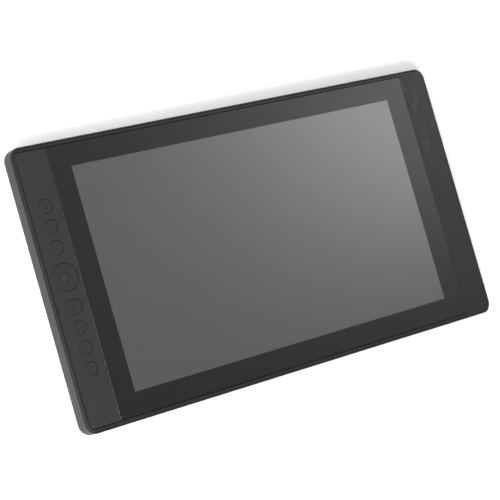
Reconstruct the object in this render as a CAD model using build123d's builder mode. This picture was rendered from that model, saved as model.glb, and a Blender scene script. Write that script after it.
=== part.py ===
from build123d import *
import os
from math import cos, radians, sin, sqrt, tan

# Pen drawing tablet: a 15.6 inch pen display that lies face up on its rubber feet.
# X runs to the right along the long side, Y away from the user and Z up, out of the glass.
# The origin is at desk level below the middle of the display. All sizes are in millimetres.

# ---------------------------------------------------------------- driving dimensions

# Picture area of the 16:9 panel, and what surrounds it on the front
active_width = 344.2
active_depth = 193.6
border_left = 19.6
border_right = 21.7
border_ends = 19.1
key_panel_width = 28.5
tone_gap = 0.2
panel_gap = 0.6
lip_width = 2.6
rim_gap = 0.3
rim_width = 1.1

# Case
corner_radius = 10.0
back_edge_radius = 2.5
foot_height = 1.5
cover_floor = 1.8
cover_wall = 2.0
inner_height = 6.3
rim_drop = 0.25
rim_round = 0.45
frame_thickness = 3.2
lip_rise = 0.2
lip_round = 0.8
pocket_corner = 3.4
grip_crown = 0.9
relief_pitch = 30.0
relief_rib = 2.4
relief_rows = 7

# Display stack, from the back to the glass
shield_thickness = 0.3
sensor_thickness = 0.8
tray_thickness = 0.3
guide_thickness = 1.6
film_thickness = 0.4
cell_thickness = 1.2
cell_gap = 0.2
glass_thickness = 1.1
adhesive_thickness = 0.5
cell_margin_x = 3.25
cell_margin_y = 5.8
tray_wall = 0.6
tray_play = 0.2
led_depth = 1.3
led_pitch = 14.0
window_play_x = 1.1
window_play_y = 3.5
bracket_sheet = 0.8
bracket_width = 16.0
bracket_hold = 8.0
bracket_foot = 8.0
bracket_inset = 31.0

# Keys and dial
key_inset = 15.0
key_inner_row = 33.7
key_pitch = 17.5
key_radius = 5.8
key_gap = 0.4
key_travel = 0.5
key_dish = 0.3
key_rise = 0.1
flange_margin_x = 1.3
flange_margin_y = 0.9
flange_thickness = 0.8
flange_play = 0.05
key_stem = 1.55
square_row = -16.35
square_width = 13.8
square_depth = 11.7
square_corner = 2.9
dial_row = 8.75
dial_radius = 11.6
dial_gap = 0.45
dial_dish = 0.45
dial_button_radius = 3.4
dial_button_gap = 0.35

# Switches and the ring encoder
switch_side = 6.0
switch_height = 2.5
plunger_radius = 1.7
plunger_rise = 0.8
plunger_depth = 1.4
slide_clearance = 0.1
running_clearance = 0.06
encoder_radius = 9.6
encoder_bore = 4.9
encoder_wall = 0.6
rotor_neck = 1.44
hub_height = 1.7

# Boards and ribbon cables
board_thickness = 1.2
board_standoff = 1.9
board_width = 71.0
board_length = 134.0
board_wall_gap = 2.0
board_rear_inset = 16.5
key_board_width = 26.8
key_board_end = 26.5
driver_board_width = 220.0
driver_board_depth = 14.0
ribbon_thickness = 0.3
connector_height = 1.2
connector_depth = 4.0

# Sockets and power button in the right-hand wall, measured from the main board's rear edge
usb_insets = (46.0, 62.0)
usb_width = 8.9
usb_height = 3.2
usb_length = 7.4
video_inset = 80.0
video_width = 11.2
video_length = 7.6
socket_wall = 0.3
socket_recess = 0.5
socket_gap = 0.15
power_inset = 20.0
power_width = 12.4
power_height = 2.8
power_gap = 0.3
power_recess = 0.1
power_travel = 0.5

# Fold-out legs
leg_board_gap = 11.1
leg_hinge_inset = 28.5
leg_width = 34.0
leg_length = 70.0
leg_thickness = 4.6
leg_recess = 0.3
leg_side_gap = 0.5
leg_top_gap = 0.4
leg_end_gap = 0.8
leg_open_angle = 105.0
leg_stop_gap = 0.12
leg_pin_radius = 1.5
leg_pin_seat = 0.02
leg_housing_wall = 1.4
leg_pad_length = 5.0
leg_tongue = 2.5
notch_width = 22.0
notch_reach = 10.0
notch_height = 5.0

# Feet and vents
foot_length = 62.0
foot_width = 11.0
foot_seat = 0.5
foot_side_inset = 53.0
foot_end_inset = 17.5
vent_length = 16.0
vent_width = 1.6
vent_pitch = 4.0
vent_count = 14

# Fasteners
cover_shank = 1.2
cover_head = 2.3
cover_screw_length = 8.6
small_shank = 1.0
small_head = 1.9
small_head_height = 1.1
small_screw_length = 3.5
bracket_screw_length = 2.0
screw_clearance = 0.05
boss_radius = 2.9
post_radius = 2.2
screw_side_inset = 9.0
screw_end_inset = 8.5
screw_inner_inset = 115.0

# ---------------------------------------------------------------- sizes that follow

lip_outside = rim_gap + rim_width
case_right = (
    active_width / 2 + border_left + tone_gap + key_panel_width + panel_gap + lip_width + lip_outside
)
case_rear = active_depth / 2 + border_ends + panel_gap + lip_width + lip_outside
case_width, case_depth = 2 * case_right, 2 * case_rear

z_back = foot_height
z_floor = z_back + cover_floor
z_shield = z_floor + inner_height
z_sensor = z_shield + shield_thickness
z_tray = z_sensor + sensor_thickness
z_guide = z_tray + tray_thickness
z_film = z_guide + guide_thickness
z_cell = z_film + film_thickness
z_glass = z_cell + cell_thickness + cell_gap
z_front = z_glass + glass_thickness
z_ledge = z_glass - adhesive_thickness
z_frame = z_front - frame_thickness
z_lip = z_front + lip_rise
z_rim = z_front - rim_drop

frame_right = case_right - lip_outside
frame_rear = case_rear - lip_outside
pocket_left = -(frame_right - lip_width)
pocket_rear = frame_rear - lip_width
panel_left = pocket_left + panel_gap
panel_rear = pocket_rear - panel_gap
glass_left = -(active_width / 2 + border_left)
glass_right = active_width / 2 + border_right
glass_centre = (glass_left + glass_right) / 2
glass_width = glass_right - glass_left
grip_start = glass_right + 0.1
grip_end = frame_right - lip_round

cell_width = active_width + 2 * cell_margin_x
cell_depth = active_depth + 2 * cell_margin_y
window_width = cell_width + 2 * window_play_x
window_depth = cell_depth + 2 * window_play_y

key_column = panel_left + key_inset
key_rows = [key_inner_row + step * key_pitch for step in (2, 1, 0)]
key_rows += [-row for row in reversed(key_rows)]
round_flange = (2 * (key_radius + flange_margin_x), 2 * (key_radius + flange_margin_y))
square_flange = (square_width + 1.4, square_depth + 1.8)
key_window_width = max(round_flange[0], square_flange[0]) + 1.4

z_flange = z_ledge - flange_play - flange_thickness
z_key_top = z_front + key_rise
z_plunger_top = z_flange - key_stem
z_switch_top = z_plunger_top - plunger_rise
z_key_board_top = z_switch_top - switch_height
z_key_board = z_key_board_top - board_thickness
z_hub = z_ledge - hub_height

z_board = z_floor + board_standoff
z_board_top = z_board + board_thickness
z_socket = z_board_top + usb_height / 2
board_right = case_right - cover_wall - board_wall_gap
board_left = board_right - board_width
board_rear = case_rear - board_rear_inset
board_front = board_rear - board_length
board_holes = [
    (x, y) for x in (board_left + 5, board_right - 9) for y in (board_front + 5, board_rear - 5)
]
key_board_rear = case_rear - cover_wall - key_board_end
key_posts = [
    (key_column + side * (key_board_width / 2 - 3), y)
    for side in (-1, 1)
    for y in (-key_board_rear + 5, square_row - 9.25, dial_row + 16.25, key_board_rear - 5)
]

usb_rows = [board_rear - inset for inset in usb_insets]
video_row = board_rear - video_inset
power_row = board_rear - power_inset
socket_mouth = case_right - socket_recess

leg_pocket_half = leg_width / 2 + leg_side_gap
leg_offset = board_left - leg_board_gap - leg_housing_wall - leg_pocket_half
leg_columns = (-leg_offset, leg_offset)
leg_hinge_row = case_rear - leg_hinge_inset
leg_heel = leg_thickness / 2
z_leg_axis = z_back + leg_recess + leg_heel
leg_pocket_top = z_leg_axis + leg_heel + leg_top_gap
leg_pocket_end = leg_hinge_row - leg_length - leg_end_gap
housing_front = leg_pocket_end - notch_reach - leg_housing_wall
housing_rear = leg_hinge_row + leg_heel + leg_top_gap + 3.0

screw_row = case_rear - screw_end_inset
screw_columns = [case_right - screw_side_inset, case_right - screw_inner_inset]
cover_screw_places = [
    (x, y) for x in (*screw_columns, 0, *[-x for x in screw_columns]) for y in (-screw_row, screw_row)
]
foot_places = [
    (side * (case_right - foot_side_inset), end * (case_rear - foot_end_inset))
    for side in (-1, 1)
    for end in (-1, 1)
]

bracket_inner = cell_width / 2 + 0.1
bracket_outer = window_width / 2 + bracket_foot
bracket_row = active_depth / 2 - bracket_inset
bracket_holes = [
    (side * (bracket_outer - 3.5), end * bracket_row) for side in (-1, 1) for end in (-1, 1)
]

parts = []


def keep(builder, name):
    """Labels a finished piece and puts it on the list of files to write."""
    builder.part.label = name
    parts.append(builder.part)


def above_arch(level, drop, reach):
    """XZ region over the grip strip: above an arch that leaves the glass level and falls by drop."""
    run = grip_end - grip_start
    radius = (run**2 + drop**2) / (2 * drop)
    middle = (grip_start + reach) / 2

    def height(x):
        return level - radius + sqrt(radius**2 - (x - grip_start) ** 2)

    with BuildSketch() as region:
        with BuildLine():
            ThreePointArc((grip_start, level), (middle, height(middle)), (reach, height(reach)))
            Polyline((reach, height(reach)), (reach, level + 4), (grip_start, level + 4), (grip_start, level))
        make_face()
    return region.sketch


def top_outline(builder):
    """Edges that run round the top of a case part, without the seam where the arch begins."""
    return builder.edges().filter_by(
        lambda edge: edge.center().Z > z_rim - grip_crown - 0.3 and abs(edge.center().X - grip_start) > 1.0
    )


# ---------------------------------------------------------------- rear cover


def leg_pocket_section():
    """YZ side view of a leg pocket, whose slanted rear wall stops the open leg."""
    lean = radians(leg_open_angle - 90)
    stop = leg_heel + leg_stop_gap
    heel = leg_heel + leg_top_gap
    mouth = z_back - 1.0

    def stop_row(z):
        return leg_hinge_row + (stop - (z - z_leg_axis) * sin(lean)) / cos(lean)

    with BuildSketch() as section:
        with BuildLine():
            Polyline(
                (leg_hinge_row, leg_pocket_top),
                (leg_pocket_end, leg_pocket_top),
                (leg_pocket_end, mouth),
                (stop_row(mouth), mouth),
                (stop_row(z_leg_axis), z_leg_axis),
                (leg_hinge_row + heel, z_leg_axis),
            )
            ThreePointArc(
                (leg_hinge_row + heel, z_leg_axis),
                (leg_hinge_row + heel * cos(radians(45)), z_leg_axis + heel * sin(radians(45))),
                (leg_hinge_row, leg_pocket_top),
            )
        make_face()
    return section.sketch


def usb_outline(inset):
    """Rounded slot of a USB-C socket."""
    with BuildSketch() as slot:
        SlotOverall(usb_width - 2 * inset, usb_height - 2 * inset)
    return slot.sketch


def video_outline(inset):
    """Mini video socket, narrower below."""
    half, low = video_width / 2 - inset, usb_height / 2 - inset
    with BuildSketch() as shape:
        with BuildLine():
            Polyline(
                (-half, low), (half, low), (half, -low + 1.3), (half - 1.2, -low), (-half + 1.2, -low),
                (-half, -low + 1.3), close=True,
            )
        make_face()
    return shape.sketch


with BuildPart() as rear_cover:
    with BuildSketch(Plane.XY.offset(z_back)):
        RectangleRounded(case_width, case_depth, corner_radius)
    extrude(amount=z_rim - z_back)
    with BuildSketch(Plane.XZ):
        add(above_arch(z_rim, grip_crown, case_right + 1))
    extrude(amount=case_depth, both=True, mode=Mode.SUBTRACT)
    fillet(rear_cover.faces().sort_by(Axis.Z)[0].edges(), back_edge_radius)
    fillet(top_outline(rear_cover), rim_round)
    # Hollow, with a rebate that the front frame seats in.
    with BuildSketch(Plane.XY.offset(z_floor)):
        RectangleRounded(case_width - 2 * cover_wall, case_depth - 2 * cover_wall, corner_radius - cover_wall)
    extrude(amount=z_front, mode=Mode.SUBTRACT)
    with BuildSketch(Plane.XY.offset(z_frame)):
        RectangleRounded(case_width - 2 * rim_width, case_depth - 2 * rim_width, corner_radius - rim_width)
    extrude(amount=z_front, mode=Mode.SUBTRACT)
    # Housings that back the leg pockets and their finger notches.
    z_housing = z_back + cover_floor / 2
    with BuildSketch(Plane.XY.offset(z_housing)):
        with Locations(*[(x, (housing_front + housing_rear) / 2) for x in leg_columns]):
            RectangleRounded(2 * (leg_pocket_half + leg_housing_wall), housing_rear - housing_front, 2.0)
    extrude(amount=leg_pocket_top + leg_housing_wall - z_housing)
    for x in leg_columns:
        with BuildSketch(Plane.YZ.offset(x)):
            add(leg_pocket_section())
        extrude(amount=leg_pocket_half, both=True, mode=Mode.SUBTRACT)
        with BuildSketch(Plane.XY.offset(z_back - 1.0)):
            with Locations((x, leg_pocket_end - notch_reach / 2 + 1.0)):
                RectangleRounded(notch_width, notch_reach + 2.0, 3.0)
        extrude(amount=notch_height + 1.0, mode=Mode.SUBTRACT)
        with BuildSketch(Plane.YZ.offset(x)):
            with Locations((leg_hinge_row, z_leg_axis)):
                Circle(leg_pin_radius + leg_pin_seat)
        extrude(amount=leg_pocket_half + leg_housing_wall + 0.5, both=True, mode=Mode.SUBTRACT)
    # Standoffs that carry the main board.
    with BuildSketch(Plane.XY.offset(z_floor)):
        with Locations(*board_holes):
            Circle(3.0)
    extrude(amount=board_standoff)
    with BuildSketch(Plane.XY.offset(z_floor - 0.6)):
        with Locations(*board_holes):
            Circle(small_shank + screw_clearance)
    extrude(amount=board_standoff + 0.6, mode=Mode.SUBTRACT)
    # Ribs that stiffen the floor in front of the legs.
    with BuildSketch(Plane.XY.offset(z_floor)):
        with Locations((0, -case_rear / 2)):
            with GridLocations(2 * leg_offset / 3, 0, 4, 1):
                Rectangle(1.2, case_rear / 2)
    extrude(amount=2.2)
    # Countersunk holes for the cover screws.
    with Locations(*[Location((x, y, z_back), (180, 0, 0)) for x, y in cover_screw_places]):
        CounterSinkHole(cover_shank + screw_clearance, cover_head + screw_clearance, depth=cover_floor + 1.0)
    # A bank of vent slots on each side, below the boards.
    with BuildSketch(Plane.XY.offset(z_back - 0.5)):
        for side in (-1, 1):
            with Locations((side * (board_left + board_right) / 2, board_rear - power_inset)):
                with GridLocations(vent_pitch, 0, vent_count, 1):
                    SlotOverall(vent_length, vent_width, rotation=90)
    extrude(amount=cover_floor + 1.0, mode=Mode.SUBTRACT)
    # Shallow seats for the rubber feet.
    with BuildSketch(Plane.XY.offset(z_back)):
        with Locations(*foot_places):
            SlotOverall(foot_length + 0.4, foot_width + 0.4)
    extrude(amount=foot_seat, mode=Mode.SUBTRACT)
    # Socket mouths and the power button's slot, in the right-hand wall.
    with BuildSketch(Plane.YZ.offset(case_right - cover_wall - 1.0)):
        with Locations(*[(y, z_socket) for y in usb_rows]):
            add(usb_outline(-socket_gap))
        with Locations((video_row, z_socket)):
            add(video_outline(-socket_gap))
        with Locations((power_row, z_socket)):
            SlotOverall(power_width + 2 * power_gap, power_height + 2 * power_gap)
    extrude(amount=cover_wall + 2.0, mode=Mode.SUBTRACT)
keep(rear_cover, "rear_cover")

# ---------------------------------------------------------------- front frame

with BuildPart() as front_frame:
    with BuildSketch(Plane.XY.offset(z_frame)):
        RectangleRounded(2 * frame_right, 2 * frame_rear, corner_radius - lip_outside)
    extrude(amount=z_lip - z_frame)
    with BuildSketch(Plane.XZ):
        add(above_arch(z_lip, grip_crown + lip_rise, case_right + 1))
    extrude(amount=case_depth, both=True, mode=Mode.SUBTRACT)
    fillet(top_outline(front_frame), lip_round)
    # The grip strip lies level with the glass, between lips that fade towards its outer edge.
    with BuildSketch(Plane.XZ):
        add(above_arch(z_front, grip_crown, grip_end))
    extrude(amount=pocket_rear, both=True, mode=Mode.SUBTRACT)
    # Pocket for the key panel and the glass, rounded at its left corners.
    with BuildSketch(Plane.XY.offset(z_ledge)) as pocket:
        with Locations(((pocket_left + grip_start) / 2, 0)):
            Rectangle(grip_start - pocket_left, 2 * pocket_rear)
        fillet(pocket.vertices().group_by(Axis.X)[0], pocket_corner)
    extrude(amount=z_front - z_ledge + 1, mode=Mode.SUBTRACT)
    # Windows for the display and below the keys and the dial.
    with BuildSketch(Plane.XY.offset(z_frame - 1)):
        RectangleRounded(window_width, window_depth, 1.5)
        with Locations((key_column, (key_rows[0] + key_rows[2]) / 2)):
            RectangleRounded(key_window_width, key_rows[0] - key_rows[2] + round_flange[1] + 1.2, 2.0)
        with Locations((key_column, (square_row + key_rows[-1]) / 2)):
            RectangleRounded(key_window_width, square_row - key_rows[-1] + round_flange[1] + 2.4, 2.0)
        with Locations((key_column, dial_row)):
            Circle(dial_radius + 1.4)
    extrude(amount=frame_thickness + 2, mode=Mode.SUBTRACT)
    # Relief pockets under the grip strip, with ribs between them.
    with BuildSketch(Plane.XY.offset(z_frame)):
        with Locations(((grip_start + frame_right) / 2, 0)):
            with GridLocations(0, relief_pitch, 1, relief_rows):
                RectangleRounded(20.0, relief_pitch - relief_rib, 2.0)
    extrude(amount=frame_thickness - 1.0 - grip_crown, mode=Mode.SUBTRACT)
    # Bosses that take the cover screws, and posts that carry the key board.
    with BuildSketch(Plane.XY.offset(z_floor)):
        with Locations(*cover_screw_places):
            Circle(boss_radius)
    extrude(amount=z_frame - z_floor)
    with BuildSketch(Plane.XY.offset(z_key_board_top)):
        with Locations(*key_posts):
            Circle(post_radius)
    extrude(amount=z_frame - z_key_board_top)
    with BuildSketch(Plane.XY.offset(z_floor)):
        with Locations(*cover_screw_places):
            Circle(cover_shank + screw_clearance)
    extrude(amount=cover_screw_length, mode=Mode.SUBTRACT)
    with BuildSketch(Plane.XY.offset(z_key_board_top)):
        with Locations(*key_posts):
            Circle(small_shank + screw_clearance)
    extrude(amount=small_screw_length, mode=Mode.SUBTRACT)
    with BuildSketch(Plane.XY.offset(z_frame)):
        with Locations(*bracket_holes):
            Circle(small_shank + screw_clearance)
    extrude(amount=bracket_screw_length - bracket_sheet + 0.2, mode=Mode.SUBTRACT)
keep(front_frame, "front_frame")

# ---------------------------------------------------------------- key panel, glass and its adhesive

with BuildPart() as key_panel:
    with BuildSketch(Plane.XY.offset(z_ledge)) as outline:
        with Locations((panel_left + key_panel_width / 2, 0)):
            Rectangle(key_panel_width, 2 * panel_rear)
        fillet(outline.vertices().group_by(Axis.X)[0], pocket_corner - panel_gap)
    extrude(amount=z_front - z_ledge)
    chamfer(key_panel.faces().sort_by(Axis.Z)[-1].edges(), 0.15)
    with BuildSketch(Plane.XY.offset(z_ledge)):
        with Locations(*[(key_column, y) for y in key_rows]):
            Circle(key_radius + key_gap)
        with Locations((key_column, dial_row)):
            Circle(dial_radius + dial_gap)
        with Locations((key_column, square_row)):
            RectangleRounded(square_width + 2 * key_gap, square_depth + 2 * key_gap, square_corner + key_gap)
    extrude(amount=z_front - z_ledge, mode=Mode.SUBTRACT)
keep(key_panel, "key_panel")

with BuildPart() as cover_glass:
    with BuildSketch(Plane.XY.offset(z_glass)):
        with Locations((glass_centre, 0)):
            Rectangle(glass_width, 2 * panel_rear)
    extrude(amount=glass_thickness)
    chamfer(cover_glass.faces().sort_by(Axis.Z)[-1].edges(), 0.12)
keep(cover_glass, "cover_glass")

with BuildPart() as glass_adhesive:
    with BuildSketch(Plane.XY.offset(z_ledge)):
        with Locations((glass_centre, 0)):
            Rectangle(glass_width - 1.0, 2 * panel_rear - 1.0)
        Rectangle(window_width + 1.0, window_depth + 1.0, mode=Mode.SUBTRACT)
    extrude(amount=adhesive_thickness)
keep(glass_adhesive, "glass_adhesive")

# ---------------------------------------------------------------- display module and pen sensor

guide_width = cell_width - 2 * (tray_wall + tray_play)
guide_depth = cell_depth - 2 * (tray_wall + tray_play)
led_row = -guide_depth / 2 + led_depth / 2

with BuildPart() as display_cell:
    with BuildSketch(Plane.XY.offset(z_cell)):
        Rectangle(cell_width, cell_depth)
    extrude(amount=cell_thickness)
keep(display_cell, "display_cell")

with BuildPart() as diffuser_films:
    with BuildSketch(Plane.XY.offset(z_film)):
        Rectangle(guide_width, guide_depth)
    extrude(amount=film_thickness)
keep(diffuser_films, "diffuser_films")

with BuildPart() as light_guide:
    with BuildSketch(Plane.XY.offset(z_guide)):
        with Locations((0, (led_depth + 0.1) / 2)):
            Rectangle(guide_width, guide_depth - led_depth - 0.1)
    extrude(amount=guide_thickness)
keep(light_guide, "light_guide")

with BuildPart() as led_strip:
    with BuildSketch(Plane.XY.offset(z_guide)):
        with Locations((0, -guide_depth / 2 + 0.2)):
            Rectangle(guide_width - 2.0, 0.4)
        with Locations((0, led_row)):
            with GridLocations(led_pitch, 0, int((guide_width - 10) / led_pitch), 1):
                Rectangle(3.8, led_depth)
    extrude(amount=guide_thickness - 0.2)
keep(led_strip, "led_strip")

with BuildPart() as backlight_tray:
    with BuildSketch(Plane.XY.offset(z_tray)):
        Rectangle(cell_width, cell_depth)
    extrude(amount=z_cell - z_tray)
    with BuildSketch(Plane.XY.offset(z_guide)):
        Rectangle(cell_width - 2 * tray_wall, cell_depth - 2 * tray_wall)
    extrude(amount=z_cell - z_guide, mode=Mode.SUBTRACT)
keep(backlight_tray, "backlight_tray")

sensor_plug = (board_left + 10.0, board_front + 64.0)

with BuildPart() as sensor_board:
    with BuildSketch(Plane.XY.offset(z_sensor)):
        Rectangle(cell_width, cell_depth)
    extrude(amount=sensor_thickness)
keep(sensor_board, "sensor_board")

with BuildPart() as sensor_shield:
    with BuildSketch(Plane.XY.offset(z_shield)):
        Rectangle(cell_width, cell_depth)
        with Locations(sensor_plug):
            Rectangle(16.0, 8.0, mode=Mode.SUBTRACT)
    extrude(amount=shield_thickness)
keep(sensor_shield, "sensor_shield")


def bracket_section(side):
    """XZ profile of the folded sheet that grips under the stack and screws to the frame."""
    outline = (
        (bracket_outer, z_frame),
        (bracket_outer, z_frame - bracket_sheet),
        (bracket_inner + bracket_sheet, z_frame - bracket_sheet),
        (bracket_inner + bracket_sheet, z_shield - bracket_sheet),
        (cell_width / 2 - bracket_hold, z_shield - bracket_sheet),
        (cell_width / 2 - bracket_hold, z_shield),
        (bracket_inner, z_shield),
        (bracket_inner, z_frame),
    )
    with BuildSketch() as section:
        with BuildLine():
            Polyline(*[(side * x, z) for x, z in outline], close=True)
        make_face()
    return section.sketch


with BuildPart() as panel_brackets:
    for side in (-1, 1):
        for row in (-bracket_row, bracket_row):
            with BuildSketch(Plane.XZ.offset(-row)):
                add(bracket_section(side))
            extrude(amount=bracket_width / 2, both=True)
    with BuildSketch(Plane.XY.offset(z_frame - bracket_sheet)):
        with Locations(*bracket_holes):
            Circle(small_shank + screw_clearance)
    extrude(amount=bracket_sheet, mode=Mode.SUBTRACT)
keep(panel_brackets, "panel_brackets")

# ---------------------------------------------------------------- keys and their switches

dish_rim = key_radius - 0.8
dish_radius = (dish_rim**2 + key_dish**2) / (2 * key_dish)


def key_cap(row, square=False, pip=False):
    """A dished key with a flange that holds it below the panel and a stem that meets its switch."""
    with BuildPart() as cap:
        with BuildSketch(Plane.XY.offset(z_flange)):
            with Locations((key_column, row)):
                if square:
                    RectangleRounded(square_width, square_depth, square_corner)
                else:
                    Circle(key_radius)
        extrude(amount=z_key_top - z_flange)
        fillet(cap.faces().sort_by(Axis.Z)[-1].edges(), 0.35)
        with Locations((key_column, row, z_key_top - key_dish + dish_radius)):
            Sphere(dish_radius, mode=Mode.SUBTRACT)
        if pip:
            with Locations((key_column, row, z_key_top - key_dish)):
                Cone(0.55, 0.3, 0.2, align=(Align.CENTER, Align.CENTER, Align.MIN))
        with BuildSketch(Plane.XY.offset(z_flange)):
            with Locations((key_column, row)):
                RectangleRounded(*(square_flange if square else round_flange), 1.5)
        extrude(amount=flange_thickness)
        with BuildSketch(Plane.XY.offset(z_plunger_top)):
            with Locations((key_column, row)):
                Circle(plunger_radius)
        extrude(amount=key_stem)
    return cap


def key_plunger(row):
    """The round actuator of one push switch."""
    with BuildPart() as plunger:
        with BuildSketch(Plane.XY.offset(z_switch_top - plunger_depth)):
            with Locations((key_column, row)):
                Circle(plunger_radius)
        extrude(amount=plunger_depth + plunger_rise)
        chamfer(plunger.faces().sort_by(Axis.Z)[-1].edges(), 0.2)
    return plunger


all_key_rows = key_rows[:3] + [square_row] + key_rows[3:]
for number, row in enumerate(all_key_rows, start=1):
    keep(
        key_cap(row, square=row == square_row, pip=abs(row) == key_inner_row),
        f"key_{number}",
    )
    keep(key_plunger(row), f"key_plunger_{number}")

with BuildPart() as key_switches:
    switch_places = [(key_column, row) for row in (*all_key_rows, dial_row)]
    with BuildSketch(Plane.XY.offset(z_key_board_top)):
        with Locations(*switch_places):
            Rectangle(switch_side, switch_side)
    extrude(amount=switch_height)
    chamfer(key_switches.faces().group_by(Axis.Z)[-1].edges(), 0.25)
    with BuildSketch(Plane.XY.offset(z_key_board_top)):
        with Locations(*switch_places):
            with GridLocations(0, 4.4, 1, 2):
                Rectangle(switch_side + 1.6, 0.7)
    extrude(amount=0.25)
    with BuildSketch(Plane.XY.offset(z_switch_top - plunger_depth - key_travel - 0.1)):
        with Locations(*switch_places):
            Circle(plunger_radius + slide_clearance)
    extrude(amount=switch_height, mode=Mode.SUBTRACT)
keep(key_switches, "key_switches")

with BuildPart() as key_board:
    with BuildSketch(Plane.XY.offset(z_key_board)):
        with Locations((key_column, 0)):
            RectangleRounded(key_board_width, 2 * key_board_rear, 2.0)
        with Locations(*key_posts):
            Circle(small_shank + 0.2, mode=Mode.SUBTRACT)
    extrude(amount=board_thickness)
keep(key_board, "key_board")

# ---------------------------------------------------------------- dial, its button and its encoder

dial_plane = Plane(origin=(key_column, dial_row, 0), x_dir=(1, 0, 0), z_dir=(0, -1, 0))
dial_axis = Axis((key_column, dial_row, 0), (0, 0, 1))
z_lid = z_hub - 0.4
z_base = z_key_board_top + 0.7
collar = encoder_bore + encoder_wall
rotor_bore = collar + running_clearance
rotor_neck_radius = rotor_bore + rotor_neck
rotor_rim = encoder_radius - encoder_wall - encoder_wall

with BuildPart() as encoder_body:
    with BuildSketch(dial_plane):
        with BuildLine():
            Polyline(
                (encoder_bore, z_key_board_top),
                (encoder_radius, z_key_board_top),
                (encoder_radius, z_lid),
                (rotor_neck_radius + 0.3, z_lid),
                (rotor_neck_radius + 0.3, z_lid - encoder_wall),
                (encoder_radius - encoder_wall, z_lid - encoder_wall),
                (encoder_radius - encoder_wall, z_base),
                (collar, z_base),
                (collar, z_lid - 0.8),
                (encoder_bore, z_lid - 0.8),
                close=True,
            )
        make_face()
    revolve(axis=dial_axis)
keep(encoder_body, "encoder_body")

with BuildPart() as encoder_rotor:
    with BuildSketch(dial_plane):
        with BuildLine():
            Polyline(
                (rotor_bore, z_base + 0.2),
                (rotor_rim, z_base + 0.2),
                (rotor_rim, z_lid - encoder_wall - 0.2),
                (rotor_neck_radius, z_lid - encoder_wall - 0.2),
                (rotor_neck_radius, z_hub),
                (rotor_bore, z_hub),
                close=True,
            )
        make_face()
    revolve(axis=dial_axis)
keep(encoder_rotor, "encoder_rotor")

z_dial_bottom = z_ledge - 0.7
z_dish_bottom = z_key_top - dial_dish
button_hole = dial_button_radius + dial_button_gap
button_flange = dial_button_radius + 1.4

with BuildPart() as dial_wheel:
    with BuildSketch(dial_plane) as dial_section:
        with BuildLine():
            Polyline(
                (button_hole, z_dish_bottom),
                (button_hole, z_ledge),
                (button_flange + 0.4, z_ledge),
                (button_flange + 0.4, z_hub),
                (rotor_neck_radius + running_clearance, z_hub),
                (rotor_neck_radius + running_clearance, z_hub - 0.25),
                (rotor_neck_radius + 0.9, z_hub - 0.25),
                (rotor_neck_radius + 0.9, z_dial_bottom),
                (dial_radius, z_dial_bottom),
                (dial_radius, z_key_top),
                (dial_radius - 0.7, z_key_top),
            )
            SagittaArc((dial_radius - 0.7, z_key_top), (button_hole, z_dish_bottom), -0.12)
        make_face()
        fillet(dial_section.vertices().sort_by(Axis.Y)[-1:] + dial_section.vertices().sort_by(Axis.Y)[-2:-1], 0.3)
    revolve(axis=dial_axis)
keep(dial_wheel, "dial_wheel")

z_button_top = z_dish_bottom + 0.15
with BuildPart() as dial_button:
    with BuildSketch(dial_plane):
        with BuildLine():
            Polyline(
                (0, z_button_top),
                (0, z_plunger_top),
                (plunger_radius, z_plunger_top),
                (plunger_radius, z_flange),
                (button_flange, z_flange),
                (button_flange, z_flange + flange_thickness),
                (dial_button_radius, z_flange + flange_thickness),
                (dial_button_radius, z_button_top - 0.25),
                (dial_button_radius - 0.3, z_button_top),
                close=True,
            )
        make_face()
    revolve(axis=dial_axis)
    with Locations((key_column, dial_row, z_button_top - 0.12 + dish_radius)):
        Sphere(dish_radius, mode=Mode.SUBTRACT)
keep(dial_button, "dial_button")
keep(key_plunger(dial_row), "dial_button_plunger")

# ---------------------------------------------------------------- main board and what stands on it

with BuildPart() as main_board:
    with BuildSketch(Plane.XY.offset(z_board)):
        with Locations(((board_left + board_right) / 2, (board_front + board_rear) / 2)):
            RectangleRounded(board_width, board_length, 2.0)
        with Locations(*board_holes):
            Circle(small_shank + 0.2, mode=Mode.SUBTRACT)
    extrude(amount=board_thickness)
keep(main_board, "main_board")

# Place from the board's left front corner, size and height of each package.
processor_place = (board_left + 36.0, board_front + 44.0)
chips = [
    (36.0, 44.0, 17.0, 17.0, 1.4),
    (36.0, 72.0, 12.0, 9.0, 1.0),
    (18.0, 58.0, 8.0, 8.0, 0.9),
    (54.0, 92.0, 7.0, 7.0, 2.6),
    (54.0, 104.0, 7.0, 7.0, 2.6),
    (40.0, 104.0, 5.0, 6.0, 1.1),
    (20.0, 104.0, 9.0, 9.0, 1.1),
    (20.0, 88.0, 5.0, 4.0, 1.6),
    (48.0, 20.0, 6.0, 5.0, 1.1),
]
with BuildPart() as main_board_chips:
    for dx, dy, width, depth, height in chips:
        with BuildSketch(Plane.XY.offset(z_board_top)):
            with Locations((board_left + dx, board_front + dy)):
                Rectangle(width, depth)
        extrude(amount=height)
    chamfer(main_board_chips.edges().filter_by(Axis.Z), 0.3)
keep(main_board_chips, "main_board_chips")

can_side = 24.0
can_height = 2.0
can_sheet = 0.2
with BuildPart() as shield_can:
    with BuildSketch(Plane.XY.offset(z_board_top)):
        with Locations(processor_place):
            RectangleRounded(can_side, can_side, 1.0)
    extrude(amount=can_height)
    with BuildSketch(Plane.XY.offset(z_board_top)):
        with Locations(processor_place):
            RectangleRounded(can_side - 2 * can_sheet, can_side - 2 * can_sheet, 0.8)
    extrude(amount=can_height - can_sheet, mode=Mode.SUBTRACT)
keep(shield_can, "shield_can")


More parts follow.
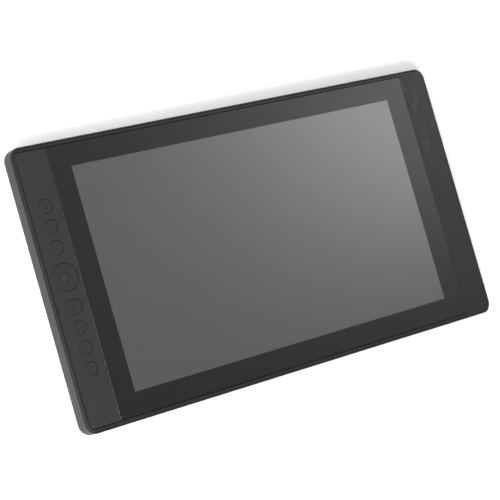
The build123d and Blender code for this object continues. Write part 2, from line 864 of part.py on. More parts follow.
def socket_body(rows, outline, length, tongue_width):
    """Sockets that share one outline(inset), each hollowed from its mouth round a thin tongue."""
    back = socket_mouth - length
    with BuildPart() as body:
        for row in rows:
            with BuildSketch(Plane.YZ.offset(back)):
                with Locations((row, z_socket)):
                    add(outline(0))
            extrude(amount=length)
            with BuildSketch(Plane.YZ.offset(back + 1.0)):
                with Locations((row, z_socket)):
                    add(outline(socket_wall))
            extrude(amount=length, mode=Mode.SUBTRACT)
            with BuildSketch(Plane.YZ.offset(back + 0.5)):
                with Locations((row, z_socket)):
                    Rectangle(tongue_width, 0.7)
            extrude(amount=length - 1.6)
    return body


keep(socket_body(usb_rows, usb_outline, usb_length, 6.7), "usb_ports")
keep(socket_body([video_row], video_outline, video_length, 8.0), "video_port")

# ---------------------------------------------------------------- power button

inner_wall = case_right - cover_wall
power_switch_face = board_right - 1.5
power_plunger_tip = power_switch_face + 1.0
power_flange = inner_wall - 0.2

with BuildPart() as power_button:
    with BuildSketch(Plane.YZ.offset(power_flange - 0.9)):
        with Locations((power_row, z_socket)):
            SlotOverall(power_width, power_height)
    extrude(amount=case_right - power_recess - power_flange + 0.9)
    fillet(power_button.faces().sort_by(Axis.X)[-1].edges(), 0.35)
    with BuildSketch(Plane.YZ.offset(power_flange - 0.9)):
        with Locations((power_row, z_socket)):
            RectangleRounded(power_width + 2.4, power_height + 1.0, 1.0)
    extrude(amount=0.9)
    with BuildSketch(Plane.YZ.offset(power_plunger_tip)):
        with Locations((power_row, z_socket)):
            Circle(1.0)
    extrude(amount=power_flange - 0.9 - power_plunger_tip)
keep(power_button, "power_button")

with BuildPart() as power_plunger:
    with BuildSketch(Plane.YZ.offset(power_switch_face - 1.2)):
        with Locations((power_row, z_socket)):
            RectangleRounded(2.8, 1.3, 0.3)
    extrude(amount=power_plunger_tip - power_switch_face + 1.2)
keep(power_plunger, "power_plunger")

with BuildPart() as power_switch:
    with BuildSketch(Plane.XY.offset(z_board_top)):
        with Locations((power_switch_face - 1.8, power_row)):
            Rectangle(3.6, 6.4)
    extrude(amount=usb_height)
    with BuildSketch(Plane.YZ.offset(power_switch_face - 1.2 - power_travel - 0.1)):
        with Locations((power_row, z_socket)):
            RectangleRounded(2.8 + 2 * slide_clearance, 1.3 + 2 * slide_clearance, 0.4)
    extrude(amount=3.0, mode=Mode.SUBTRACT)
keep(power_switch, "power_switch")

# ---------------------------------------------------------------- driver board, ribbons and connectors

z_driver_top = z_shield - ribbon_thickness - 0.05
z_ribbon = z_shield - 0.05 - ribbon_thickness / 2
z_plug_mid = z_board_top + connector_height / 2
driver_centre = cell_width / 2 - driver_board_width / 2 - 5.0
driver_row = -cell_depth / 2 + driver_board_depth / 2 + 0.4
display_column = board_left + 8.0
display_plug_row = board_front + 20.0
key_ribbon_row = board_front + 32.0
key_plug_column = board_left + 4.0
sensor_connector_row = sensor_plug[1] - 19.0

with BuildPart() as driver_board:
    with BuildSketch(Plane.XY.offset(z_driver_top - 1.0)):
        with Locations((driver_centre, driver_row)):
            Rectangle(driver_board_width, driver_board_depth)
    extrude(amount=1.0)
keep(driver_board, "driver_board")

with BuildPart() as display_flex:
    flex_out = cell_depth / 2 + 2.3
    for column in (-82.5, -27.5, 27.5, 82.5):
        with BuildSketch(Plane.YZ.offset(driver_centre + column)):
            with BuildLine() as route:
                FilletPolyline(
                    (-cell_depth / 2, z_cell + 0.4),
                    (-flex_out, z_cell + 0.4),
                    (-flex_out, z_ribbon),
                    (driver_row, z_ribbon),
                    radius=1.2,
                )
            trace(route.edges(), ribbon_thickness)
        extrude(amount=20.0, both=True)
keep(display_flex, "display_flex")

with BuildPart() as display_ribbon:
    with BuildSketch(Plane.YZ.offset(display_column)):
        with BuildLine() as route:
            FilletPolyline(
                (driver_row + 3.0, z_ribbon),
                (display_plug_row - 14.0, z_ribbon),
                (display_plug_row - 8.0, z_plug_mid),
                (display_plug_row - connector_depth / 2, z_plug_mid),
                radius=3.0,
            )
        trace(route.edges(), ribbon_thickness)
    extrude(amount=7.0, both=True)
keep(display_ribbon, "display_ribbon")

z_key_plug = z_key_board - connector_height / 2
key_plug_edge = key_column + key_board_width / 2 - 3.0
with BuildPart() as key_ribbon:
    with BuildSketch(Plane.XZ.offset(-key_ribbon_row)):
        with BuildLine() as route:
            FilletPolyline(
                (key_plug_edge, z_key_plug),
                (key_plug_edge + 6.0, z_key_plug),
                (key_plug_edge + 14.0, z_ribbon),
                (key_plug_column - 14.0, z_ribbon),
                (key_plug_column - 8.0, z_plug_mid),
                (key_plug_column - connector_depth / 2, z_plug_mid),
                radius=3.0,
            )
        trace(route.edges(), ribbon_thickness)
    extrude(amount=4.0, both=True)
keep(key_ribbon, "key_ribbon")

with BuildPart() as sensor_ribbon:
    with BuildSketch(Plane.YZ.offset(sensor_plug[0])):
        with BuildLine() as route:
            FilletPolyline(
                (sensor_plug[1] - 3.0, z_sensor - 0.9),
                (sensor_plug[1] - 7.0, z_sensor - 0.9),
                (sensor_connector_row + 7.0, z_plug_mid),
                (sensor_connector_row + connector_depth / 2, z_plug_mid),
                radius=2.0,
            )
        trace(route.edges(), ribbon_thickness)
    extrude(amount=4.0, both=True)
keep(sensor_ribbon, "sensor_ribbon")

with BuildPart() as board_connectors:
    with BuildSketch(Plane.XY.offset(z_board_top)):
        with Locations((display_column, display_plug_row)):
            Rectangle(16.0, connector_depth)
        with Locations((key_plug_column, key_ribbon_row)):
            Rectangle(connector_depth, 11.0)
        with Locations((sensor_plug[0], sensor_connector_row)):
            Rectangle(11.0, connector_depth)
    extrude(amount=connector_height)
    with BuildSketch(Plane.XY.offset(z_key_board - connector_height)):
        with Locations((key_plug_edge - connector_depth / 2, key_ribbon_row)):
            Rectangle(connector_depth, 11.0)
    extrude(amount=connector_height)
    with BuildSketch(Plane.XY.offset(z_sensor - 1.6)):
        with Locations(sensor_plug):
            Rectangle(11.0, 6.0)
    extrude(amount=1.6)
keep(board_connectors, "board_connectors")

# ---------------------------------------------------------------- fold-out legs

leg_end = leg_hinge_row - leg_length + leg_pad_length
leg_bottom = z_leg_axis - leg_heel
tongue_height = leg_thickness / 3


def fold_leg(x):
    """A flat leg with a rounded heel, a pin bore, hollows on its inner face and a slot for its pad."""
    with BuildPart() as leg:
        with BuildSketch(Plane.YZ.offset(x)):
            with Locations(((leg_hinge_row + leg_end) / 2, z_leg_axis)):
                Rectangle(leg_hinge_row - leg_end, leg_thickness)
            with Locations((leg_hinge_row, z_leg_axis)):
                Circle(leg_heel)
        extrude(amount=leg_width / 2, both=True)
        fillet(leg.edges().filter_by(Axis.Y), 0.5)
        with BuildSketch(Plane.YZ.offset(x)):
            with Locations((leg_hinge_row, z_leg_axis)):
                Circle(leg_pin_radius + running_clearance)
            with Locations((leg_end, z_leg_axis)):
                Rectangle(2 * leg_tongue, tongue_height)
        extrude(amount=leg_width, both=True, mode=Mode.SUBTRACT)
        with BuildSketch(Plane.XY.offset(z_leg_axis - leg_heel + 1.8)):
            with Locations((x, (leg_hinge_row + leg_end) / 2 - 0.5)):
                with GridLocations(leg_width / 2 - 1.4, 17.0, 2, 3):
                    RectangleRounded(leg_width / 2 - 3.0, 15.4, 1.5)
        extrude(amount=leg_thickness, mode=Mode.SUBTRACT)
    return leg


def leg_pad(x):
    """The soft end that a leg stands on, held by a tongue in the leg's slot."""
    with BuildPart() as pad:
        with BuildSketch(Plane.XY.offset(leg_bottom)) as plan:
            with Locations((x, leg_end - leg_pad_length / 2)):
                Rectangle(leg_width, leg_pad_length)
            fillet(plan.vertices().group_by(Axis.Y)[0], 2.5)
        extrude(amount=leg_thickness)
        fillet(pad.faces().sort_by(Axis.Y)[0].edges().filter_by(Axis.X), 1.2)
        with BuildSketch(Plane.YZ.offset(x)):
            with Locations((leg_end + leg_tongue / 2 - 0.1, z_leg_axis)):
                Rectangle(leg_tongue, tongue_height - 0.1)
        extrude(amount=leg_width / 2 - 1.0, both=True)
    return pad


def leg_pin(x):
    """Steel pin held at both ends by the walls of a leg pocket."""
    reach = leg_pocket_half + leg_housing_wall - 0.1
    with BuildPart() as pin:
        with BuildSketch(Plane.YZ.offset(x)):
            with Locations((leg_hinge_row, z_leg_axis)):
                Circle(leg_pin_radius)
        extrude(amount=reach, both=True)
        chamfer(pin.edges().group_by(Axis.X)[0] + pin.edges().group_by(Axis.X)[-1], 0.2)
    return pin


for side, x in zip(("left", "right"), leg_columns):
    keep(fold_leg(x), f"leg_{side}")
    keep(leg_pad(x), f"leg_pad_{side}")
    keep(leg_pin(x), f"leg_pin_{side}")

# ---------------------------------------------------------------- feet and screws

with BuildPart() as rubber_feet:
    with BuildSketch(Plane.XY):
        with Locations(*foot_places):
            SlotOverall(foot_length, foot_width)
    extrude(amount=foot_height + foot_seat)
    chamfer(rubber_feet.faces().group_by(Axis.Z)[0].edges(), 0.4)
keep(rubber_feet, "rubber_feet")


def revolved(outline):
    """Part turned about Z from an outline of radius and height."""
    with BuildPart() as turned:
        with BuildSketch(Plane.XZ):
            with BuildLine():
                Polyline(*outline, close=True)
            make_face()
        revolve(axis=Axis.Z)
    return turned


# Countersunk screw, from its flat head upwards.
countersunk = revolved(
    [
        (0, 0),
        (cover_head, 0),
        (cover_shank, (cover_head - cover_shank) / tan(radians(41))),
        (cover_shank, cover_screw_length),
        (0, cover_screw_length),
    ]
)
with BuildPart() as cover_screws:
    with Locations(*[(x, y, z_back) for x, y in cover_screw_places]):
        add(countersunk.part)
    with BuildSketch(Plane.XY.offset(z_back)):
        with Locations(*cover_screw_places):
            RegularPolygon(1.0, 6)
    extrude(amount=0.8, mode=Mode.SUBTRACT)
keep(cover_screws, "cover_screws")


def pan_screw(length):
    """Small screw with its head below and its shank upwards from the origin."""
    return revolved(
        [
            (0, -small_head_height),
            (small_head - 0.4, -small_head_height),
            (small_head, 0),
            (small_shank, 0),
            (small_shank, length),
            (0, length),
        ]
    ).part


with BuildPart() as board_screws:
    with Locations(*[(x, y, z_key_board) for x, y in key_posts]):
        add(pan_screw(small_screw_length))
    with Locations(*[Location((x, y, z_board_top), (180, 0, 0)) for x, y in board_holes]):
        add(pan_screw(small_screw_length))
keep(board_screws, "board_screws")

with BuildPart() as bracket_screws:
    with Locations(*[(x, y, z_frame - bracket_sheet) for x, y in bracket_holes]):
        add(pan_screw(bracket_screw_length))
keep(bracket_screws, "bracket_screws")

# ---------------------------------------------------------------- one STEP file for each piece

os.makedirs("parts", exist_ok=True)
for part in parts:
    export_step(part, f"parts/{part.label}.step")
print(len(parts), "pieces, case", round(case_width, 1), "x", round(case_depth, 1), "x", round(z_lip, 1))
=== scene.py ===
import math

import bmesh
import bpy
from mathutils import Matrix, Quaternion, Vector


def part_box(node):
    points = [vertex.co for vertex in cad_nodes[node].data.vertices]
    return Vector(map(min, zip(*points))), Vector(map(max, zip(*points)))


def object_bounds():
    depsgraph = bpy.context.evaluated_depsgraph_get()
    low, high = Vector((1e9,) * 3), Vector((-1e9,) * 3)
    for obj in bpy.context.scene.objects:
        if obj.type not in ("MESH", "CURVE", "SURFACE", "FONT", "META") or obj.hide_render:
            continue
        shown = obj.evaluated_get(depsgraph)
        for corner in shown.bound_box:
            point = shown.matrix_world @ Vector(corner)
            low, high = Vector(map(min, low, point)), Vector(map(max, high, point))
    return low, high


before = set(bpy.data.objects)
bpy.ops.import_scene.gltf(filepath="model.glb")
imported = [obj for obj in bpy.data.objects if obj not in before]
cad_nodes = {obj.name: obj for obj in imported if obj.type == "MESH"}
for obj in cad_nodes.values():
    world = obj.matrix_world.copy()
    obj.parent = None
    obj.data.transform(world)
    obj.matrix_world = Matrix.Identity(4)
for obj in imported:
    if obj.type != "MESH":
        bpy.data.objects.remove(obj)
cad_low, cad_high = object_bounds()

# ------------------------------------------------------------------ rear cover
# The tray that the whole tablet is built into. It is injection moulded in black ABS from a
# spark-eroded tool, which leaves a fine even grain, and ten countersunk screws close it from below.

mm = 0.001
black_abs = {"IOR": 1.49, "Specular_IOR_Level": 0.35}
flow_size = 35 * mm
rub_size = 14 * mm
mottle_size = 2.5 * mm
speck_size = 0.5 * mm
wave_unit = 0.314  # A Wave node of scale 1 has its bands this far apart.


class Value:
    """One result in a finish's nodes. Sums written on it in Python add the Math nodes."""

    def __init__(self, finish, socket):
        self.finish = finish
        self.socket = socket

    def __add__(self, other):
        return self.finish.math("ADD", self, other)

    def __radd__(self, other):
        return self.finish.math("ADD", other, self)

    def __sub__(self, other):
        return self.finish.math("SUBTRACT", self, other)

    def __rsub__(self, other):
        return self.finish.math("SUBTRACT", other, self)

    def __mul__(self, other):
        return self.finish.math("MULTIPLY", self, other)

    def __rmul__(self, other):
        return self.finish.math("MULTIPLY", other, self)

    def __pow__(self, other):
        return self.finish.math("POWER", self, other)

    def __abs__(self):
        return self.finish.math("ABSOLUTE", self)

    def between(self, low, high):
        """0 below low, 1 above high and a smooth rise from one to the other. They may be swapped."""
        settings = {"interpolation_type": "SMOOTHSTEP"}
        if low < high:
            return self.finish.node("ShaderNodeMapRange", settings, {0: self, 1: low, 2: high})
        return 1 - self.finish.node("ShaderNodeMapRange", settings, {0: self, 1: high, 2: low})


class Finish:
    """A material made node by node, in the object's own coordinates."""

    def __init__(self, name, **constants):
        self.material = bpy.data.materials.new(name)
        self.material.use_nodes = True
        self.tree = self.material.node_tree
        self.shader = self.tree.nodes["Principled BSDF"]
        self.set(**constants)
        self.place = self.node("ShaderNodeTexCoord", output="Object")

    def set(self, **sockets):
        """Sets or links sockets of the surface shader, named with _ for a space."""
        for name, value in sockets.items():
            self.feed(self.shader.inputs[name.replace("_", " ")], value)

    def feed(self, socket, value):
        """Links a value to a socket, or writes a plain number or colour into it."""
        if isinstance(value, Value):
            self.tree.links.new(value.socket, socket)
        else:
            socket.default_value = value

    def fed(self, name):
        """The value that already feeds a socket of the surface shader."""
        return Value(self, self.shader.inputs[name].links[0].from_socket)

    def node(self, kind, settings=None, sockets=None, output=0):
        """Adds one node: its settings first, and then the values or links of its sockets."""
        made = self.tree.nodes.new(kind)
        for name, value in (settings or {}).items():
            setattr(made, name, value)
        for name, value in (sockets or {}).items():
            self.feed(made.inputs[name], value)
        return Value(self, made.outputs[output])

    def math(self, operation, *operands):
        """One sum on values and numbers."""
        return self.node("ShaderNodeMath", {"operation": operation}, dict(enumerate(operands)))

    def axis(self, name):
        """One coordinate of the surface, in metres."""
        return self.node("ShaderNodeSeparateXYZ", None, {0: self.place}, output=name)

    def stretched(self, x, y, z):
        """The surface's place with each axis scaled, for marks that run one way."""
        return self.node("ShaderNodeMapping", None, {"Vector": self.place, "Scale": (x, y, z)})

    def noise(self, size, detail=2.0, place=None, rough=0.5):
        """Cloudy variation from 0 to 1 whose patches are about size across."""
        sockets = {"Vector": place or self.place, "Scale": 1 / size, "Detail": detail, "Roughness": rough}
        return self.node("ShaderNodeTexNoise", None, sockets)

    def cells(self, size, **sockets):
        """How far the surface is from the nearest of many points about size apart."""
        sockets = {"Vector": self.place, "Scale": 1 / size, **sockets}
        return self.node("ShaderNodeTexVoronoi", None, sockets)

    def stripes(self, pitch, across):
        """Soft stripes from 0 to 1, pitch apart along one axis."""
        sockets = {"Vector": self.place, "Scale": wave_unit / pitch}
        return self.node("ShaderNodeTexWave", {"bands_direction": across}, sockets)

    def mix(self, factor, first, second):
        """One colour over another by a mask."""
        return self.node("ShaderNodeMix", {"data_type": "RGBA"}, {0: factor, 6: first, 7: second}, output=2)

    def bump(self, height, strength, depth, under=None):
        """A surface normal raised by height, which is from 0 to 1, times depth."""
        sockets = {"Height": height, "Strength": strength, "Distance": depth}
        if under:
            sockets["Normal"] = under
        return self.node("ShaderNodeBump", None, sockets)


def grey(level, warm=0.0):
    """A neutral colour of that level, with a little warmth or coolness."""
    return (level * (1 + warm), level, level * (1 - warm), 1.0)


def dress(finish, *names):
    """Gives CAD nodes their finish."""
    for name in names:
        mesh = cad_nodes[name].data
        mesh.materials.clear()
        mesh.materials.append(finish.material)


def moulded(name, level, roughness, grain, depth, polish=0.1, dust=0.15):
    """Moulded black plastic: an eroded grain, faint flow marks, and patches rubbed smoother."""
    plastic = Finish(name, **black_abs)
    flow = plastic.noise(flow_size, detail=3.0)
    mottle = plastic.noise(mottle_size)
    rubbed = plastic.noise(rub_size, detail=4.0, rough=0.6).between(0.52, 0.72)
    speck = plastic.noise(speck_size, detail=1.0).between(0.72, 0.8)
    tone = plastic.mix(flow, grey(level * 0.94), grey(level * 1.07))
    tone = plastic.mix(speck * dust, tone, grey(level * 2.6))
    pits = plastic.noise(grain, detail=3.0, rough=0.65)
    plastic.set(
        Base_Color=tone,
        Roughness=roughness + (mottle - 0.5) * 0.12 - rubbed * polish,
        Normal=plastic.bump(pits, 0.5, depth),
    )
    return plastic


cover_plastic = moulded("textured cover plastic", 0.019, 0.56, grain=0.32 * mm, depth=0.035 * mm)
dress(cover_plastic, "rear_cover")

# ------------------------------------------------------------------ front frame
# One moulding that is the lip round the front, the ledge the glass is taped to and the grip strip
# at the right. Its tool is finer than the cover's, so it looks satin, and hands polish the strip.

frame_plastic = moulded(
    "satin frame plastic", 0.012, 0.47, grain=0.18 * mm, depth=0.014 * mm, polish=0.12, dust=0.1
)
dress(frame_plastic, "front_frame")

# ------------------------------------------------------------------ key panel
# A separate strip of the same plastic, left matte by a blasted tool, with a hole for each key and
# one for the dial. It lies over the key flanges and keeps the keys in.

panel_plastic = moulded(
    "matte key panel plastic", 0.015, 0.62, grain=0.14 * mm, depth=0.012 * mm, polish=0.05
)
dress(panel_plastic, "key_panel")

# ------------------------------------------------------------------ keys
# Six round keys and a square one, moulded with a shallow dish. The middle of each dish is the
# first place that fingers polish.

key_numbers = range(1, 8)
key_touch_reach = 4.5 * mm
small_grain = 0.13 * mm
small_grain_depth = 0.01 * mm


def centre_of(name):
    """Middle of a CAD node's box."""
    low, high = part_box(name)
    return (low + high) / 2


def distance_from(finish, middle):
    """How far the surface is from the upright line through middle."""
    return ((finish.axis("X") - middle.x) ** 2 + (finish.axis("Y") - middle.y) ** 2) ** 0.5


def small_pits(plastic):
    """The very fine grain that the small mouldings share."""
    return plastic.bump(plastic.noise(small_grain), 0.4, small_grain_depth)


def key_finish(name, level=0.014, reach=key_touch_reach):
    """Matte key plastic with its finger polish round the node's own middle."""
    plastic = Finish(f"{name} plastic", **black_abs)
    radius = distance_from(plastic, centre_of(name))
    patches = plastic.noise(1.6 * mm, detail=3.0).between(0.3, 0.7)
    touched = radius.between(reach, 0.3 * reach) * patches
    flow = plastic.noise(9 * mm)
    plastic.set(
        Base_Color=plastic.mix(flow, grey(level * 0.95), grey(level * 1.06)),
        Roughness=0.6 - touched * 0.14 + (flow - 0.5) * 0.08,
        Normal=small_pits(plastic),
    )
    return plastic


for number in key_numbers:
    dress(key_finish(f"key_{number}"), f"key_{number}")

# ------------------------------------------------------------------ dial
# A thin wheel that turns on its ring encoder, with a press button through its middle. Both are
# moulded in the keys' plastic, and their tools were turned, so they have faint rings.

dial_middle = centre_of("dial_wheel")


def turned_finish(name, level, pitch, ring_depth):
    """Key plastic from a turned tool, with fine rings round the dial's middle."""
    plastic = Finish(name, **black_abs)
    turn = distance_from(plastic, dial_middle) * (2 * math.pi / pitch)
    rings = plastic.math("SINE", turn) * 0.5 + 0.5
    worn = plastic.noise(3 * mm, detail=4.0).between(0.45, 0.75)
    plastic.set(
        Base_Color=plastic.mix(plastic.noise(8 * mm), grey(level * 0.95), grey(level * 1.06)),
        Roughness=0.56 - worn * 0.1,
        Normal=plastic.bump(rings, 0.5, ring_depth, small_pits(plastic)),
    )
    return plastic


wheel_plastic = turned_finish("dial wheel plastic", 0.014, pitch=0.4 * mm, ring_depth=0.004 * mm)
dress(wheel_plastic, "dial_wheel")
button_plastic = turned_finish("dial button plastic", 0.018, pitch=0.6 * mm, ring_depth=0.003 * mm)
dress(button_plastic, "dial_button")

# ------------------------------------------------------------------ cover glass
# Aluminosilicate glass, 1.1 mm thick, etched on its front so that it reflects softly and the pen
# drags a little. A black border is printed on its back, and the dark display shows inside it.

active_width = 344.2 * mm
active_depth = 193.6 * mm
print_edge = 0.15 * mm
etch_size = 0.09 * mm
etch_depth = 0.002 * mm
smear_size = 30 * mm
border_ink = grey(0.007)
display_off = grey(0.12, -0.005)

glass = Finish(
    "etched glass over print and display", IOR=1.5, Specular_IOR_Level=0.1, Coat_IOR=1.5, Coat_Roughness=0.32
)
inside_x = abs(glass.axis("X")).between(active_width / 2 + print_edge, active_width / 2 - print_edge)
inside_y = abs(glass.axis("Y")).between(active_depth / 2 + print_edge, active_depth / 2 - print_edge)
inside = inside_x * inside_y
smear = glass.noise(smear_size, 4.0, glass.stretched(1.0, 2.2, 1.0), rough=0.6)
glass.set(
    Base_Color=glass.mix(inside, border_ink, display_off),
    Metallic=inside * 0.7,
    Roughness=0.5 - inside * 0.17 + (smear - 0.5) * 0.05,
    Coat_Weight=0.85 + (smear - 0.5) * 0.2,
    Normal=glass.bump(glass.noise(etch_size, detail=1.0), 0.3, etch_depth),
)
dress(glass, "cover_glass")

# ------------------------------------------------------------------ glass adhesive
# A frame of black foam tape that holds the glass to the ledge. Its cut face shows the cells.

tape_cell = 0.35 * mm

tape = Finish("black foam tape", Base_Color=grey(0.02))
tape.set(
    Roughness=0.8 + tape.noise(4 * mm) * 0.15,
    Normal=tape.bump(tape.cells(tape_cell), 0.6, 0.05 * mm),
)
dress(tape, "glass_adhesive")

# ------------------------------------------------------------------ display cell
# Two sheets of glass with the liquid crystal between them, dark while it is off. Its columns of
# colour filters show as faint stripes.

column_pitch = 0.1884 * mm
filter_tint = (0.03, 0.028, 0.036, 1.0)

cell = Finish("dark display cell", IOR=1.52, Coat_Weight=0.6, Coat_Roughness=0.1)
cell.set(
    Base_Color=cell.mix(cell.stripes(column_pitch, "X"), grey(0.015), filter_tint),
    Roughness=0.3 + cell.noise(20 * mm) * 0.1,
)
dress(cell, "display_cell")

# ------------------------------------------------------------------ diffuser films
# Loose white sheets with a beaded surface, which spread the light of the guide below them.

films = Finish("white diffuser film", IOR=1.57)
films.set(
    Base_Color=films.mix(films.noise(25 * mm), grey(0.78), grey(0.86, 0.01)),
    Roughness=0.35 + films.noise(0.2 * mm) * 0.3,
    Normal=films.bump(films.noise(0.08 * mm), 0.3, 0.005 * mm),
)
dress(films, "diffuser_films")

# ------------------------------------------------------------------ light guide
# A clear acrylic plate with a regular pattern of white dots printed on it, which let the light out.

dot_pitch = 1.4 * mm
clear_acrylic = (0.82, 0.86, 0.88, 1.0)

guide = Finish("clear light guide acrylic", IOR=1.49, Transmission_Weight=0.7)
printed = guide.cells(dot_pitch, Randomness=0.0).between(0.32, 0.22)
guide.set(
    Base_Color=guide.mix(printed, clear_acrylic, grey(0.92)),
    Roughness=0.06 + printed * 0.6,
)
dress(guide, "light_guide")

# ------------------------------------------------------------------ led strip
# White LEDs, which are yellow phosphor in pale housings, along one edge of the light guide.

phosphor = (0.78, 0.62, 0.16, 1.0)

leds = Finish("phosphor and strip", IOR=1.45)
led_ends = leds.noise(5 * mm)
leds.set(
    Base_Color=leds.mix(led_ends.between(0.4, 0.6), phosphor, grey(0.75, 0.03)),
    Roughness=0.3 + led_ends * 0.2,
)
dress(leds, "led_strip")

# ------------------------------------------------------------------ sheet metal
# The folded tray round the display stack, the brackets that hold it, and the foil that shields the
# pen sensor. All are plain rolled sheet.

line_squeeze = 0.04
stain_size = 22 * mm


def rolled_metal(name, level, roughness, lines, tint=0.0, along="X"):
    """Plain metal sheet with the fine lines of rolling along one axis, and patchy stains."""
    metal = Finish(name, Metallic=1.0)
    squeeze = {"X": (line_squeeze, 1.0, 1.0), "Y": (1.0, line_squeeze, 1.0)}[along]
    streaks = metal.noise(lines, 3.0, metal.stretched(*squeeze), rough=0.6)
    stain = metal.noise(stain_size, detail=4.0).between(0.45, 0.8)
    metal.set(
        Base_Color=metal.mix(stain * 0.5, grey(level, tint), grey(level * 0.72, tint + 0.03)),
        Roughness=roughness + (streaks - 0.5) * 0.2 + stain * 0.1,
        Normal=metal.bump(streaks, 0.25, 0.006 * mm),
    )
    return metal


tray_steel = rolled_metal("tin plated sheet steel", 0.56, 0.34, lines=0.5 * mm)
dress(tray_steel, "backlight_tray", "panel_brackets")
shield_foil = rolled_metal("aluminium shield foil", 0.72, 0.38, lines=0.4 * mm, tint=-0.01)
dress(shield_foil, "sensor_shield")

# ------------------------------------------------------------------ circuit boards
# Glass epoxy boards with glossy solder mask over copper tracks, which show through as faint
# straight lines. The mask is green, and black on the board that senses the pen.

tinned = (0.62, 0.58, 0.5, 1.0)
hole_pitch = 2.6 * mm
pour_size = 24 * mm


def board_finish(name, mask, track, pitch):
    """Solder mask with tracks and copper pours below it, and small tinned holes."""
    board = Finish(name, IOR=1.5, Coat_Weight=0.5, Coat_Roughness=0.2)
    bricks = {"Vector": board.place, "Scale": 1 / pitch}
    bricks.update({"Mortar Size": 0.045, "Brick Width": 2.3, "Row Height": 0.36})
    routes = board.node("ShaderNodeTexBrick", {"offset": 0.35, "squash": 1.6}, bricks, output="Fac")
    pours = board.noise(pour_size, detail=1.0).between(0.52, 0.54)
    ring = board.cells(hole_pitch).between(0.16, 0.13)
    copper = board.math("MINIMUM", routes + pours * 0.6, 1.0)
    board.set(
        Base_Color=board.mix(ring, board.mix(copper, mask, track), tinned),
        Metallic=ring * 0.9,
        Roughness=0.38 - ring * 0.1,
        Normal=board.bump(copper, 0.4, 0.03 * mm),
    )
    return board


green_mask, green_track = (0.006, 0.085, 0.03, 1.0), (0.012, 0.15, 0.055, 1.0)
black_mask, black_track = (0.008, 0.009, 0.012, 1.0), (0.02, 0.021, 0.026, 1.0)
green_board = board_finish("green solder mask", green_mask, green_track, pitch=4 * mm)
dress(green_board, "main_board", "key_board", "driver_board")
black_board = board_finish("black sensor board", black_mask, black_track, pitch=9 * mm)
dress(black_board, "sensor_board")

# ------------------------------------------------------------------ components on the boards
# Black epoxy packages and connector bodies, moulded matte, the processor's drawn steel can, and
# the natural acetal of the plungers and the rotor.

epoxy = Finish("black epoxy package", IOR=1.55)
epoxy.set(
    Base_Color=epoxy.mix(epoxy.noise(3 * mm), grey(0.018), grey(0.03)),
    Roughness=0.5 + epoxy.noise(0.4 * mm) * 0.2,
    Normal=epoxy.bump(epoxy.noise(0.12 * mm), 0.5, 0.01 * mm),
)
dress(epoxy, "main_board_chips", "key_switches", "board_connectors", "power_switch", "encoder_body")
dress(rolled_metal("drawn shield can", 0.6, 0.3, lines=0.3 * mm, along="Y"), "shield_can")

natural = Finish("natural acetal", IOR=1.48, Subsurface_Weight=0.1, Subsurface_Scale=0.4 * mm)
natural.set(
    Base_Color=natural.mix(natural.noise(2 * mm), grey(0.66, 0.04), grey(0.74, 0.03)),
    Roughness=0.38 + natural.noise(0.6 * mm) * 0.12,
)
dress(natural, "encoder_rotor", "power_plunger", "dial_button_plunger")
dress(natural, *[f"key_plunger_{number}" for number in key_numbers])

# ------------------------------------------------------------------ ribbon cables
# Copper tracks 1 mm apart between two layers of amber polyimide film.

track_pitch = 1.0 * mm
polyimide = (0.42, 0.16, 0.02, 1.0)
polyimide_over_copper = (0.62, 0.3, 0.07, 1.0)


def ribbon_finish(name, across):
    """Polyimide with parallel tracks that are spaced along one axis."""
    ribbon = Finish(name, IOR=1.7, Coat_Weight=0.4, Coat_Roughness=0.15)
    tracks = ribbon.stripes(track_pitch, across)
    copper = tracks.between(0.45, 0.6)
    ribbon.set(
        Base_Color=ribbon.mix(copper, polyimide, polyimide_over_copper),
        Metallic=copper * 0.35,
        Roughness=0.3 + ribbon.noise(5 * mm) * 0.1,
        Normal=ribbon.bump(tracks, 0.4, 0.03 * mm),
    )
    return ribbon


dress(ribbon_finish("ribbon tracks along y", "X"), "display_flex", "display_ribbon", "sensor_ribbon")
dress(ribbon_finish("ribbon tracks along x", "Y"), "key_ribbon")

# ------------------------------------------------------------------ sockets and power button
# Stamped, nickel plated shells round a tongue sit just behind the wall. The power button is
# moulded in the keys' plastic and slides in its slot.

socket_nickel = rolled_metal("nickel plated socket shell", 0.62, 0.27, lines=0.15 * mm, tint=0.02)
dress(socket_nickel, "usb_ports", "video_port")
dress(key_finish("power_button", level=0.021, reach=3 * mm), "power_button")

# ------------------------------------------------------------------ legs
# Two flat legs of glass-filled nylon, ribbed inside, each on a ground steel pin. Short fibres show
# as pale flecks that lie along the leg.

fibre_width = 0.5 * mm

leg_plastic = moulded("glass-filled leg plastic", 0.024, 0.5, grain=0.4 * mm, depth=0.03 * mm)
fibres = leg_plastic.noise(fibre_width, 1.0, leg_plastic.stretched(1.0, 0.12, 1.0)).between(0.66, 0.74)
leg_plastic.set(Base_Color=leg_plastic.mix(fibres * 0.3, leg_plastic.fed("Base Color"), grey(0.06)))
dress(leg_plastic, "leg_left", "leg_right")
pin_steel = rolled_metal("ground pin steel", 0.66, 0.2, lines=0.1 * mm, along="Y")
dress(pin_steel, "leg_pin_left", "leg_pin_right")

# ------------------------------------------------------------------ rubber feet and leg pads
# Moulded black elastomer, matte and a little dusty where it meets the desk.

rubber = Finish("black elastomer", IOR=1.52)
bloom = rubber.noise(7 * mm, detail=4.0, rough=0.65).between(0.45, 0.8)
rubber.set(
    Base_Color=rubber.mix(bloom * 0.35, grey(0.022), grey(0.06, 0.02)),
    Roughness=0.82 + bloom * 0.12,
    Normal=rubber.bump(rubber.noise(0.25 * mm, detail=3.0), 0.5, 0.03 * mm),
)
dress(rubber, "rubber_feet", "leg_pad_left", "leg_pad_right")

# ------------------------------------------------------------------ screws
# Steel screws with a thin black oxide, which is worn to grey where the driver turns them.

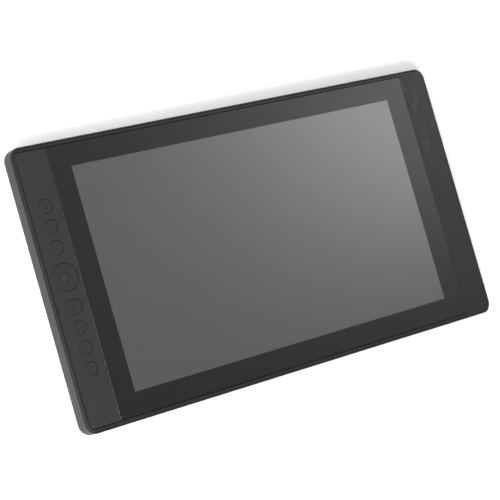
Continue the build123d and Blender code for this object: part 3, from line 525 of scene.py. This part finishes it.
oxide = Finish("black oxide steel")
driven = oxide.noise(0.9 * mm, detail=4.0).between(0.5, 0.68)
oxide.set(
    Base_Color=oxide.mix(driven, grey(0.05), grey(0.3)),
    Metallic=0.6 + driven * 0.4,
    Roughness=0.42 + oxide.noise(0.4 * mm) * 0.15,
    Normal=oxide.bump(oxide.noise(0.2 * mm), 0.3, 0.006 * mm),
)
dress(oxide, "cover_screws", "board_screws", "bracket_screws")

# ------------------------------------------------------------------ desk
# The white table top that the tablet lies on. It is a stand, not part of the object.

desk_half = 3.0
desk_clearance = 0.02 * mm

desk_mesh = bpy.data.meshes.new("desk")
desk_builder = bmesh.new()
bmesh.ops.create_grid(desk_builder, x_segments=1, y_segments=1, size=desk_half)
desk_builder.to_mesh(desk_mesh)
desk_builder.free()
desk = bpy.data.objects.new("desk", desk_mesh)
desk.location.z = cad_low.z - desk_clearance
bpy.context.scene.collection.objects.link(desk)
desk_paint = Finish("white desk", Base_Color=grey(0.92), Roughness=0.7, Specular_IOR_Level=0.2)
desk_mesh.materials.append(desk_paint.material)

# ------------------------------------------------------------------ studio light
# A dim white room with four soft boxes: one in front and one behind, both towards the left-hand
# end, a lower one at the left, and a weak one beyond the right-hand end.

room_strength = 0.12

world = bpy.data.worlds.new("white room")
world.use_nodes = True
world.node_tree.nodes["Background"].inputs["Color"].default_value = grey(1.0)
world.node_tree.nodes["Background"].inputs["Strength"].default_value = room_strength
bpy.context.scene.world = world
bpy.context.scene.view_settings.view_transform = "Standard"


def softbox(name, place, width, depth, watts):
    """A rectangular area light aimed at the middle of the tablet."""
    light = bpy.data.lights.new(name, "AREA")
    light.shape = "RECTANGLE"
    light.size = width
    light.size_y = depth
    light.energy = watts
    lamp = bpy.data.objects.new(name, light)
    lamp.location = place
    lamp.rotation_euler = (-Vector(place)).to_track_quat("-Z", "Y").to_euler()
    bpy.context.scene.collection.objects.link(lamp)


softbox("front softbox", place=(-0.8, -1.4, 1.3), width=1.4, depth=1.0, watts=55.0)
softbox("back softbox", place=(-0.8, 1.4, 1.3), width=1.4, depth=1.0, watts=28.0)
softbox("left softbox", place=(-1.6, -0.4, 0.9), width=1.2, depth=0.8, watts=35.0)
softbox("far softbox", place=(1.45, 0.5, 1.2), width=0.9, depth=0.9, watts=9.0)

# ------------------------------------------------------------------ camera
# A long lens over the left-hand end of the tablet, turned until the keys stand at the left.

camera_place = Vector((-0.8632, -0.0667, 1.2539))
camera_aim = Vector((-0.0239, -0.0074, 0.0155))
camera_roll = math.radians(70.678)
sensor_width = 36.0
focal_length = 123.57

lens = bpy.data.cameras.new("camera")
lens.sensor_width = sensor_width
lens.lens = focal_length
camera = bpy.data.objects.new("camera", lens)
camera.location = camera_place
camera.rotation_mode = "QUATERNION"
level_view = (camera_aim - camera_place).to_track_quat("-Z", "Y")
camera.rotation_quaternion = level_view @ Quaternion((0, 0, 1), camera_roll)
bpy.context.scene.collection.objects.link(camera)
bpy.context.scene.camera = camera
